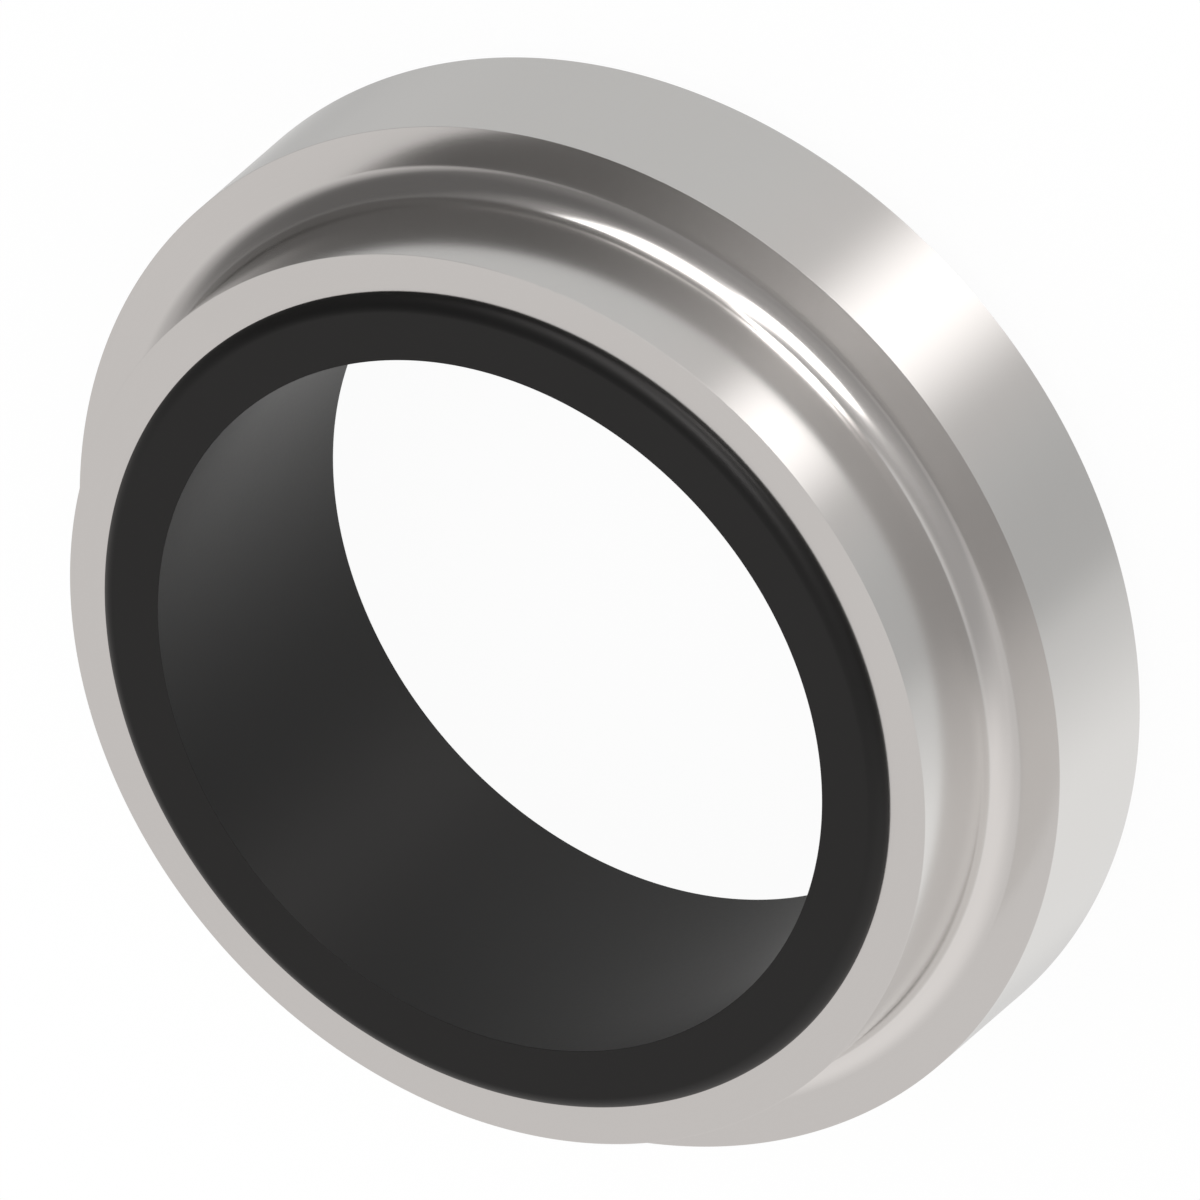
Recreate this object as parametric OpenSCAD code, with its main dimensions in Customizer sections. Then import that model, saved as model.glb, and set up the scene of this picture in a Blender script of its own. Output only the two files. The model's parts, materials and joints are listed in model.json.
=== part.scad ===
// Sealing ring: a stepped metal ring, turned in one piece, with a rubber liner bonded into its bore.
// It stands on its collar end. The axis is Z, and the narrower sleeve points up.
// Sizes are in millimetres.

/* [Rubber liner] */
// Diameter of the liner's bore, which grips a 28 mm tube
bore_d = 27.1; // [16:0.1:60]
// Thickness of the liner's wall
liner_wall = 2.4; // [1.4:0.1:6]
// Height by which the liner stands proud of the metal at each end
liner_proud = 0.55; // [0.1:0.05:2]
// Radius of the round on the liner's outer corner at each end
liner_round = 0.55; // [0.1:0.05:1.2]

/* [Metal ring] */
// Thickness of the sleeve's wall
sleeve_wall = 1.5; // [0.8:0.1:5]
// Length of the sleeve from its end face to the shoulder
sleeve_len = 5.1; // [2:0.05:20]
// Height of the shoulder from the sleeve's outside to the collar's rim
shoulder_h = 2.55; // [1.4:0.05:8]
// Width of the collar along the axis
collar_w = 6.2; // [2:0.05:20]
// Radius of the fillet in the corner between the sleeve and the shoulder
fillet_r = 1.1; // [0.2:0.05:1.3]
// Size of the chamfer on the collar's lower rim
rim_chamfer = 0.55; // [0.1:0.05:1.5]

/* [Hidden] */

// Radii, from the bore outwards
bore_r = bore_d / 2;
liner_r = bore_r + liner_wall;
sleeve_r = liner_r + sleeve_wall;
collar_r = sleeve_r + shoulder_h;

// Heights, from the liner's lower end upwards
collar_z = liner_proud;
shoulder_z = collar_z + collar_w;
sleeve_top_z = shoulder_z + sleeve_len;
liner_len = sleeve_top_z + liner_proud;

// Depth by which joined outlines run into each other
overlap = 0.2;
// Sides of a full circle, in an outline and round the axis
arc_sides = 96;
turn_sides = 180;

// Rectangle between two radii and two heights
module band(inner_r, outer_r, low_z, high_z) {
    translate([inner_r, low_z]) square([outer_r - inner_r, high_z - low_z]);
}

// Full round that forms one outer corner of the liner
module corner_round(z) {
    translate([liner_r - liner_round, z]) circle(r = liner_round, $fn = arc_sides);
}

// Liner's section: square inner corners and rounded outer ones
module liner_section() {
    band(bore_r, liner_r - liner_round, 0, liner_len);
    band(bore_r, liner_r, liner_round, liner_len - liner_round);
    corner_round(liner_round);
    corner_round(liner_len - liner_round);
}

// Collar's section, with the chamfer on its lower rim
module collar_section() {
    polygon([
        [liner_r, collar_z],
        [collar_r - rim_chamfer, collar_z],
        [collar_r, collar_z + rim_chamfer],
        [collar_r, shoulder_z],
        [liner_r, shoulder_z]
    ]);
}

// Fillet's section: a square in the corner less the round that the tool leaves
module fillet_section() {
    difference() {
        translate([sleeve_r - overlap, shoulder_z - overlap]) square(fillet_r + overlap);
        translate([sleeve_r + fillet_r, shoulder_z + fillet_r]) circle(r = fillet_r, $fn = arc_sides);
    }
}

module metal_ring() {
    color([0.74, 0.73, 0.72])
    rotate_extrude($fn = turn_sides) {
        band(liner_r, sleeve_r, collar_z, sleeve_top_z);
        collar_section();
        fillet_section();
    }
}

module rubber_liner() {
    color([0.16, 0.16, 0.16])
    rotate_extrude($fn = turn_sides) liner_section();
}

metal_ring();
rubber_liner();
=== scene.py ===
import json
import math
from typing import NamedTuple

import bpy
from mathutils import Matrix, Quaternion, Vector


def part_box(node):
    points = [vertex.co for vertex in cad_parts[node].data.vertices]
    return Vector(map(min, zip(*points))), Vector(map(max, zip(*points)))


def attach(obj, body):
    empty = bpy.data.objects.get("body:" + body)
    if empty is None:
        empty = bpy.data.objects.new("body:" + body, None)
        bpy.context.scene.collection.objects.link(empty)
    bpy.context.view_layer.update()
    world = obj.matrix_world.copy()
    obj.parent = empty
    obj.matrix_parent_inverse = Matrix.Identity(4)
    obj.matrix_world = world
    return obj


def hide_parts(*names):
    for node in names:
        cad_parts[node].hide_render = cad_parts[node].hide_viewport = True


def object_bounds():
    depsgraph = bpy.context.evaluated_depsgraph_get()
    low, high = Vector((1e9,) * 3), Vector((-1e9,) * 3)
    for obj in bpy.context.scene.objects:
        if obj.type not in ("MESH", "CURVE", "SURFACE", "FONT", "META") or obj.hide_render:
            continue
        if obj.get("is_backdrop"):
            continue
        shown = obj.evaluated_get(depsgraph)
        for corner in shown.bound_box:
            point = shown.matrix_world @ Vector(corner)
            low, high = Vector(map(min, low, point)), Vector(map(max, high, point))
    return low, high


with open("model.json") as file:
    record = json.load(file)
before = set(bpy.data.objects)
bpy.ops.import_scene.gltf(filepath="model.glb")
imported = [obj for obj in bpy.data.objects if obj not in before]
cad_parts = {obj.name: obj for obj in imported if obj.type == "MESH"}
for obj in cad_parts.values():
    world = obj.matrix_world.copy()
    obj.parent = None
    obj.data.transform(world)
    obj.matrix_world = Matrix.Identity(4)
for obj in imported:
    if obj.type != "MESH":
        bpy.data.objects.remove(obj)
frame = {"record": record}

cad_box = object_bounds()

# A sealing ring in a plain pale studio: a stepped ring of turned steel, with a rubber lining in its bore.
# The record gives millimetres, and Blender works in metres.
MM = 0.001
WHITE = (1.0, 1.0, 1.0, 1.0)


class Wire:
    """One output socket of a node tree. Arithmetic on a number adds the Math nodes that it needs."""

    def __init__(self, tree, socket):
        self.tree = tree
        self.socket = socket

    def node(self, kind, settings=(), output=0, **sockets):
        """A new node of any kind in the same tree."""
        return add_node(self.tree, kind, settings, output, **sockets)

    def beside(self, output):
        """Another output of the same node."""
        return Wire(self.tree, self.socket.node.outputs[output])

    def math(self, operation, *others):
        """A Math node with this wire in its first socket, and the others in the next ones."""
        sockets = {f"in_{place}": value for place, value in enumerate((self, *others))}
        return self.node("ShaderNodeMath", {"operation": operation}, **sockets)

    def __add__(self, other):
        return self.math("ADD", other)

    def __radd__(self, other):
        return self.math("ADD", other)

    def __sub__(self, other):
        return self.math("SUBTRACT", other)

    def __rsub__(self, other):
        return self * -1.0 + other

    def __mul__(self, other):
        return self.math("MULTIPLY", other)

    def __rmul__(self, other):
        return self.math("MULTIPLY", other)

    def __truediv__(self, other):
        return self.math("DIVIDE", other)


def feed(tree, node, **sockets):
    """Sets or links sockets, each named with underscores for spaces, or by its place, as in_0."""
    for name, value in sockets.items():
        key = int(name.removeprefix("in_")) if name.startswith("in_") else name.replace("_", " ")
        if isinstance(value, Wire):
            tree.links.new(value.socket, node.inputs[key])
        else:
            node.inputs[key].default_value = value


def add_node(tree, kind, settings=(), output=0, **sockets):
    """A new node: its settings first, then its sockets. A tree's last node has no output to return."""
    made = tree.nodes.new(kind)
    for name, value in dict(settings).items():
        setattr(made, name, value)
    feed(tree, made, **sockets)
    return Wire(tree, made.outputs[output]) if made.outputs else None


def mix_colour(tree, factor, first, second):
    """A mix of two colours. A Mix node's colour sockets come after those of its other types."""
    return add_node(tree, "ShaderNodeMix", {"data_type": "RGBA"}, 2, in_0=factor, in_6=first, in_7=second)


def parts_of(vector):
    """The three numbers of a vector, each as a wire."""
    split = vector.node("ShaderNodeSeparateXYZ", Vector=vector)
    return [split.beside(axis) for axis in "XYZ"]


def soft_step(value, start, end):
    """A smooth rise from 0 at the start to 1 at the end."""
    smooth = {"interpolation_type": "SMOOTHSTEP"}
    return value.node("ShaderNodeMapRange", smooth, Value=value, From_Min=start, From_Max=end)


# Camera: a parallel view at the photograph's angle. The ring's circles show as ellipses of this ratio, and
# its axis runs away from the camera up to the right, at this slant in the picture.
ELLIPSE_RATIO = 0.75
AXIS_SLANT = math.atan(math.sqrt(3) / 2)
VIEW_OFF_AXIS = math.acos(ELLIPSE_RATIO)
VIEW_ROLL = -(math.pi / 2 + AXIS_SLANT)
VIEW_WIDTH = 42.41 * MM
VIEW_AIM = Vector((0.279, -4.046, 8.832)) * MM
VIEW_DISTANCE = 0.2
CLIP_NEAR = 0.001
CLIP_FAR = 10.0


def add_camera():
    look = Vector((0, math.sin(VIEW_OFF_AXIS), -math.cos(VIEW_OFF_AXIS)))
    lens = bpy.data.cameras.new("camera")
    lens.type = "ORTHO"
    lens.ortho_scale = VIEW_WIDTH
    lens.clip_start = CLIP_NEAR
    lens.clip_end = CLIP_FAR
    camera = bpy.data.objects.new("camera", lens)
    bpy.context.scene.collection.objects.link(camera)
    camera.location = VIEW_AIM - look * VIEW_DISTANCE
    camera.rotation_mode = "QUATERNION"
    camera.rotation_quaternion = look.to_track_quat("-Z", "Y") @ Quaternion((0, 0, 1), VIEW_ROLL)
    bpy.context.scene.camera = camera


class Panel(NamedTuple):
    """A soft panel of the studio. Its angles are in degrees, azimuth 0 is towards +Y, and 90 towards -X.

    It has its full level between its two azimuths and its two elevations. Beyond them it fades over so many
    degrees: before the first azimuth, after the last one, below and above. For each degree of elevation its
    middle moves by its lean.
    """
    azimuth: tuple
    elevation: tuple
    fade: tuple
    level: float = 1.0
    lean: float = 0.0


# Studio, as the ring's polished metal shows it: plain surroundings, and the elevations between which one
# level changes into the next. Straight above, the ceiling has come most of the way to its own level.
GROUND_LEVEL = 0.61
BACKDROP_LEVEL = 0.385
CEILING_LEVEL = 0.30
GROUND_TO_BACKDROP = (-40, -15)
BACKDROP_TO_CEILING = (60, 98)
# Panels in front of them, of which a later one covers an earlier one
PANELS = {
    "broad soft box": Panel(azimuth=(-30, 75), elevation=(-90, 5), fade=(15, 45, 10, 100), level=0.89),
    "its side part": Panel(azimuth=(40, 100), elevation=(-5, 5), fade=(40, 30, 25, 75), level=0.825),
    "dark side": Panel(azimuth=(262, 300), elevation=(5, 48), fade=(78, 60, 60, 46), level=0.13, lean=0.3),
    "low haze": Panel(azimuth=(155, 160), elevation=(-30, -25), fade=(70, 20, 10, 35), level=0.77),
    "halo": Panel(azimuth=(190, 200), elevation=(5, 15), fade=(40, 75, 28, 55), level=0.605, lean=-0.55),
    "upper key": Panel(azimuth=(190, 197), elevation=(26, 31), fade=(18, 15, 24, 13), level=7.0, lean=-0.1),
    "lower key": Panel(azimuth=(207, 238), elevation=(-17, 15), fade=(12, 8, 15, 12), level=2.2, lean=-0.45),
    "low dip": Panel(azimuth=(-15, 10), elevation=(-90, -50), fade=(25, 30, 8, 8), level=0.72),
    "low shade": Panel(azimuth=(328, 335), elevation=(-90, -50), fade=(18, 25, 8, 8), level=0.53),
    "low gap": Panel(azimuth=(122, 132), elevation=(-90, -50), fade=(12, 45, 8, 8), level=0.45),
    "low strip": Panel(azimuth=(183, 187), elevation=(-90, -50), fade=(24, 20, 8, 8), level=1.7),
}
# Share of all that light which is left straight below, and the elevations between which it falls to that
BELOW_SHARE = 0.5
LIGHT_TO_BELOW = (-55, -75)
# Casts: warm above and in the low glow, and nearly neutral elsewhere below
WARM = (1.0, 0.965, 0.948, 1.0)
NEUTRAL = (1.0, 0.994, 0.984, 1.0)
NEUTRAL_TO_WARM = (-30, 0)
LOW_GLOW = Panel(azimuth=(160, 204), elevation=(-90, -50), fade=(16, 28, 8, 8))
# Level of the world for every ray that nothing has mirrored or let through
PLAIN_LEVEL = 1.0


def beyond(value, start, fade):
    """How far a value lies past the start of a fade, as a share of the fade."""
    return (value - start).math("MAXIMUM", 0.0) * (1 / fade)


def panel_mask(panel, x, y, elevation):
    """1 in the directions of a panel, and 0 beyond its fade."""
    first, last = panel.azimuth
    low, high = panel.elevation
    fade_before, fade_after, fade_below, fade_above = panel.fade
    turn = math.radians(first + last) / 2
    ahead = y * math.cos(turn) - x * math.sin(turn)
    aside = x * -math.cos(turn) - y * math.sin(turn)
    off_middle = aside.math("ARCTAN2", ahead) * math.degrees(1)
    away = off_middle - (elevation - (low + high) / 2) * panel.lean
    half = (last - first) / 2
    across = beyond(away, half, fade_after) + beyond(away * -1.0, half, fade_before)
    along = beyond(elevation, high, fade_above) + beyond(elevation * -1.0, -low, fade_below)
    return soft_step((across * across + along * along).math("SQRT"), 1, 0)


def studio_light(tree):
    """Level and cast of the studio in every direction."""
    x, y, z = parts_of(add_node(tree, "ShaderNodeTexCoord", output="Generated"))
    elevation = z.math("ARCSINE") * math.degrees(1)
    level = GROUND_LEVEL + soft_step(elevation, *GROUND_TO_BACKDROP) * (BACKDROP_LEVEL - GROUND_LEVEL)
    level = level + soft_step(elevation, *BACKDROP_TO_CEILING) * (CEILING_LEVEL - BACKDROP_LEVEL)
    for panel in PANELS.values():
        level = level + panel_mask(panel, x, y, elevation) * (panel.level - level)
    level = level * (1 - soft_step(elevation, *LIGHT_TO_BELOW) * (1 - BELOW_SHARE))
    glow = panel_mask(LOW_GLOW, x, y, elevation)
    warmth = soft_step(elevation, *NEUTRAL_TO_WARM).math("MAXIMUM", glow)
    return level, mix_colour(tree, warmth, NEUTRAL, WARM)


def mirrored_ray(tree):
    """1 on a ray that something has mirrored or let through, and 0 on any other."""
    glossy = add_node(tree, "ShaderNodeLightPath", output="Is Glossy Ray")
    return glossy.math("MAXIMUM", glossy.beside("Is Transmission Ray"))


def add_studio():
    world = bpy.data.worlds.new("studio")
    world.use_nodes = True
    world.cycles.sampling_method = "NONE"
    bpy.context.scene.world = world
    tree = world.node_tree
    tree.nodes.clear()
    level, cast = studio_light(tree)
    studio = add_node(tree, "ShaderNodeBackground", Color=cast, Strength=level)
    plain = add_node(tree, "ShaderNodeBackground", Color=WHITE, Strength=PLAIN_LEVEL)
    both = add_node(tree, "ShaderNodeMixShader", in_0=mirrored_ray(tree), in_1=plain, in_2=studio)
    add_node(tree, "ShaderNodeOutputWorld", Surface=both)


# Floor: a white square that reaches this far to each side, open to mirrored rays and from below. For the
# camera, the light on it makes up only this share of its white, so its shadow is faint.
FLOOR_HALF = 1.5
SHADOW_SHARE = 0.05
FLOOR_GLOW = 1.0


def floor_material():
    material = bpy.data.materials.new("studio_floor")
    material.use_nodes = True
    tree = material.node_tree
    tree.nodes.clear()
    camera_ray = add_node(tree, "ShaderNodeLightPath", output="Is Camera Ray")
    from_below = add_node(tree, "ShaderNodeNewGeometry", output="Backfacing")
    lit = add_node(tree, "ShaderNodeBsdfDiffuse", Color=WHITE)
    glow = add_node(tree, "ShaderNodeEmission", Color=WHITE, Strength=FLOOR_GLOW)
    white = add_node(tree, "ShaderNodeMixShader", in_0=camera_ray * (1 - SHADOW_SHARE), in_1=lit, in_2=glow)
    clear = add_node(tree, "ShaderNodeBsdfTransparent")
    opened = mirrored_ray(tree).math("MAXIMUM", from_below)
    both = add_node(tree, "ShaderNodeMixShader", in_0=opened, in_1=white, in_2=clear)
    add_node(tree, "ShaderNodeOutputMaterial", Surface=both)
    return material


def add_floor():
    corners = [(x * FLOOR_HALF, y * FLOOR_HALF, 0) for x, y in ((-1, -1), (1, -1), (1, 1), (-1, 1))]
    mesh = bpy.data.meshes.new("floor")
    mesh.from_pydata(corners, [], [(0, 1, 2, 3)])
    mesh.materials.append(floor_material())
    floor = bpy.data.objects.new("floor", mesh)
    bpy.context.scene.collection.objects.link(floor)
    floor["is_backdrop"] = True


def new_finish(name):
    """A material, its tree, its shader, and the place on the piece in millimetres."""
    material = bpy.data.materials.new(name)
    material.use_nodes = True
    tree = material.node_tree
    place = add_node(tree, "ShaderNodeTexCoord", output="Object")
    place_mm = place.node("ShaderNodeVectorMath", {"operation": "SCALE"}, in_0=place, Scale=1 / MM)
    return material, tree, tree.nodes["Principled BSDF"], place_mm


# Middle of a noise, and of a mix of two tones
MIDDLE = 0.5


def noise(place, scale, detail=2.0, roughness=0.5):
    """A noise from 0 to 1, with its scale in cells per millimetre."""
    return place.node("ShaderNodeTexNoise", Vector=place, Scale=scale, Detail=detail, Roughness=roughness)


def swing(pattern, width):
    """A noise from 0 to 1, made to swing about nought by this width in all."""
    return (pattern - MIDDLE) * width


def relief(height, depth):
    return height.node("ShaderNodeBump", Strength=1.0, Distance=depth, Height=height)


# Steel: its two tones, its roughness, and the marks of the turning tool, which hardly change round the axis
STEEL_DEEP = (0.790, 0.780, 0.768, 1.0)
STEEL_LIGHT = (0.815, 0.805, 0.793, 1.0)
STEEL_ROUGHNESS = 0.158
MARK_SCALE = 9.0
MARK_DRIFT = 0.012
MARK_DEPTH = 0.00005 * MM
MARK_TONE = 0.5
MARK_ROUGHNESS = 0.02
# The polish is a little uneven, in wide patches
POLISH_SCALE = 0.11
POLISH_TONE = 0.8
POLISH_ROUGHNESS = 0.03
# The metal hardly brightens at a grazing view
STEEL_GRAZING = (0.92, 0.92, 0.92, 1.0)


def turned_steel():
    """Satin-bright steel with faint marks of the turning tool, which run round the axis."""
    material, tree, shader, place_mm = new_finish("turned_steel")
    x, y, z = parts_of(place_mm)
    radius = (x * x + y * y).math("SQRT")
    marks = noise(add_node(tree, "ShaderNodeCombineXYZ", X=radius, Y=z, Z=x * MARK_DRIFT), MARK_SCALE)
    polish = noise(place_mm, POLISH_SCALE)
    tone = swing(marks, MARK_TONE) + swing(polish, POLISH_TONE) + MIDDLE
    roughness = STEEL_ROUGHNESS + swing(marks, MARK_ROUGHNESS) + swing(polish, POLISH_ROUGHNESS)
    feed(tree, shader, Base_Color=mix_colour(tree, tone, STEEL_DEEP, STEEL_LIGHT), Metallic=1.0)
    feed(tree, shader, Specular_Tint=STEEL_GRAZING, Roughness=roughness, Normal=relief(marks, MARK_DEPTH))
    return material


# Rubber: its two tones, its sheen, and the fine grain of its skin
RUBBER_DEEP = (0.0025, 0.0025, 0.0025, 1.0)
RUBBER_LIGHT = (0.0045, 0.0045, 0.0045, 1.0)
RUBBER_ROUGHNESS = 0.45
RUBBER_SPECULAR = 0.42
GRAIN_SCALE = 7.0
GRAIN_DETAIL = 4.0
GRAIN_COARSENESS = 0.65
GRAIN_DEPTH = 0.0015 * MM
GRAIN_TONE = 0.6
GRAIN_ROUGHNESS = 0.06
# A faint mottling in wide patches
MOTTLE_SCALE = 0.22
MOTTLE_TONE = 1.0
MOTTLE_ROUGHNESS = 0.03


def black_rubber():
    """Matt moulded rubber: a fine skin grain over a faint mottling."""
    material, tree, shader, place_mm = new_finish("black_rubber")
    grain = noise(place_mm, GRAIN_SCALE, GRAIN_DETAIL, GRAIN_COARSENESS)
    mottle = noise(place_mm, MOTTLE_SCALE)
    tone = swing(grain, GRAIN_TONE) + swing(mottle, MOTTLE_TONE) + MIDDLE
    roughness = RUBBER_ROUGHNESS + swing(grain, GRAIN_ROUGHNESS) + swing(mottle, MOTTLE_ROUGHNESS)
    feed(tree, shader, Base_Color=mix_colour(tree, tone, RUBBER_DEEP, RUBBER_LIGHT), Roughness=roughness)
    feed(tree, shader, Specular_IOR_Level=RUBBER_SPECULAR, Normal=relief(grain, GRAIN_DEPTH))
    return material


# Turned shapes: Geometry Nodes carry a section, given by its corners, round the axis in so many steps
TURN_STEPS = 720
# A holding point lies this far beyond each end of an arc, and keeps the shading of the flat side flat
HOLD = 0.004 * MM
# Points nearer than this are one, where the turn closes
SEAM_GAP = 0.0002 * MM
# Steps of an arc: many on a round that shows as one, and few on a broken edge
ROUND_STEPS = 32
EDGE_STEPS = 2
SMALLEST_ROUND = 0.3 * MM


def section_points(corners):
    """Closed outline through (radius, height, rounding) corners, each an arc between two holding points."""
    points = []
    for place, (radius, height, rounding) in enumerate(corners):
        here = Vector((radius, height))
        before = Vector(corners[place - 1][:2])
        after = Vector(corners[(place + 1) % len(corners)][:2])
        back = (before - here).normalized()
        ahead = (after - here).normalized()
        half = back.angle(ahead) / 2
        reach = rounding / math.tan(half)
        centre = here + (back + ahead).normalized() * (rounding / math.sin(half))
        start = here + back * reach - centre
        sweep = start.angle_signed(here + ahead * reach - centre)
        steps = ROUND_STEPS if rounding > SMALLEST_ROUND else EDGE_STEPS
        points.append(here + back * (reach + HOLD))
        for step in range(steps + 1):
            turn = -sweep * step / steps
            across = start.x * math.cos(turn) - start.y * math.sin(turn)
            up = start.x * math.sin(turn) + start.y * math.cos(turn)
            points.append(centre + Vector((across, up)))
        points.append(here + ahead * (reach + HOLD))
    return [(point.x, 0, point.y) for point in points]


def lathe_tree():
    """Turns the object's own mesh, a section in the XZ plane, round the Z axis."""
    tree = bpy.data.node_groups.new("lathe", "GeometryNodeTree")
    face = tree.interface
    face.new_socket("Section", in_out="INPUT", socket_type="NodeSocketGeometry")
    face.new_socket("Turn Steps", in_out="INPUT", socket_type="NodeSocketInt")
    face.new_socket("Seam Gap", in_out="INPUT", socket_type="NodeSocketFloat")
    face.new_socket("Finish", in_out="INPUT", socket_type="NodeSocketMaterial")
    face.new_socket("Turned", in_out="OUTPUT", socket_type="NodeSocketGeometry")
    section = add_node(tree, "NodeGroupInput", output="Section")
    turn_steps = section.beside("Turn Steps")
    # A grid with a row for each step, which ends where it began, as does each row round the section
    measured = {"component": "MESH"}
    count = add_node(tree, "GeometryNodeAttributeDomainSize", measured, "Point Count", Geometry=section)
    row_length = count + 1
    grid = add_node(tree, "GeometryNodeMeshGrid", Vertices_X=turn_steps + 1, Vertices_Y=row_length)
    index = add_node(tree, "GeometryNodeInputIndex")
    row = (index / row_length).math("FLOOR")
    place = (index - row * row_length).math("MODULO", count)
    # Each point of the grid takes its place in the section, turned by its row's share of the circle
    sampled = {"data_type": "FLOAT_VECTOR", "domain": "POINT"}
    position = add_node(tree, "GeometryNodeInputPosition")
    point = section.node("GeometryNodeSampleIndex", sampled, Geometry=section, Value=position, Index=place)
    turned = {"rotation_type": "Z_AXIS"}
    point = point.node("ShaderNodeVectorRotate", turned, Vector=point, Angle=row * math.tau / turn_steps)
    shape = grid.node("GeometryNodeSetPosition", Geometry=grid, Position=point)
    seam_gap = section.beside("Seam Gap")
    shape = shape.node("GeometryNodeMergeByDistance", Geometry=shape, Distance=seam_gap)
    shape = shape.node("GeometryNodeSetShadeSmooth", Geometry=shape)
    shape = shape.node("GeometryNodeRealizeInstances", Geometry=shape)
    shape = shape.node("GeometryNodeSetMaterial", Geometry=shape, Material=section.beside("Finish"))
    add_node(tree, "NodeGroupOutput", Turned=shape)
    return tree


def turn_piece(name, tree, corners, finish):
    """A plain mesh at the origin, turned from a section."""
    points = section_points(corners)
    mesh = bpy.data.meshes.new(name)
    mesh.from_pydata(points, [(k, (k + 1) % len(points)) for k in range(len(points))], [])
    piece = bpy.data.objects.new(name, mesh)
    bpy.context.scene.collection.objects.link(piece)
    lathe = piece.modifiers.new("lathe", "NODES")
    lathe.node_group = tree
    given = {"Turn Steps": TURN_STEPS, "Seam Gap": SEAM_GAP, "Finish": finish}
    for item in tree.interface.items_tree:
        if item.in_out == "INPUT" and item.name in given:
            lathe[item.identifier] = given[item.name]
    ready = piece.evaluated_get(bpy.context.evaluated_depsgraph_get())
    piece.data = bpy.data.meshes.new_from_object(ready)
    piece.data.name = name
    piece.modifiers.remove(lathe)
    bpy.data.meshes.remove(mesh)
    return piece


# Sizes of the ring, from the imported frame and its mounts
mounts = {mount["name"]: mount for mount in frame["record"]["mounts"]}


def mount_radius(name):
    return mounts[name]["dims"]["r_mm"] * MM


def mount_start(name):
    """Height at which a mount's round wall begins."""
    return mounts[name]["pos_m"][2] - mounts[name]["dims"]["length_mm"] * MM / 2


ring_low, ring_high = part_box("metal_ring")
liner_low, liner_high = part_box("rubber_liner")
bore_r = mount_radius("tube_bore")
liner_r = liner_high[0]
sleeve_r = mount_radius("sleeve_spigot")
collar_r = mount_radius("collar_seat")
rim_z = mount_start("collar_seat")
shoulder_z = mounts["shoulder_face"]["pos_m"][2]
fillet = mount_start("sleeve_spigot") - shoulder_z
chamfer = rim_z - ring_low[2]
liner_round = liner_high[2] - ring_high[2]

# Edges are broken by hardly anything, as the photograph shows them crisp
STEEL_EDGE = 0.004 * MM
RUBBER_EDGE = 0.01 * MM


def ring_corners():
    return [
        (liner_r, ring_low[2], STEEL_EDGE),
        (collar_r - chamfer, ring_low[2], STEEL_EDGE),
        (collar_r, rim_z, STEEL_EDGE),
        (collar_r, shoulder_z, STEEL_EDGE),
        (sleeve_r, shoulder_z, fillet),
        (sleeve_r, ring_high[2], STEEL_EDGE),
        (liner_r, ring_high[2], STEEL_EDGE),
    ]


def liner_corners():
    return [
        (bore_r, liner_low[2], RUBBER_EDGE),
        (liner_r, liner_low[2], liner_round),
        (liner_r, liner_high[2], liner_round),
        (bore_r, liner_high[2], RUBBER_EDGE),
    ]


def add_ring():
    tree = lathe_tree()
    ring = turn_piece("steel_ring", tree, ring_corners(), turned_steel())
    liner = turn_piece("rubber_lining", tree, liner_corners(), black_rubber())
    for piece, node, slot in ((ring, "metal_ring", "turned_steel"), (liner, "rubber_liner", "black_rubber")):
        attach(piece, "root")
        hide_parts(node)


add_camera()
add_studio()
add_floor()
add_ring()
bpy.context.scene.view_settings.view_transform = "Standard"

boxes = {"cad": cad_box, "visual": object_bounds()}
boxes = {name: [[float(value) for value in corner] for corner in box] for name, box in boxes.items()}
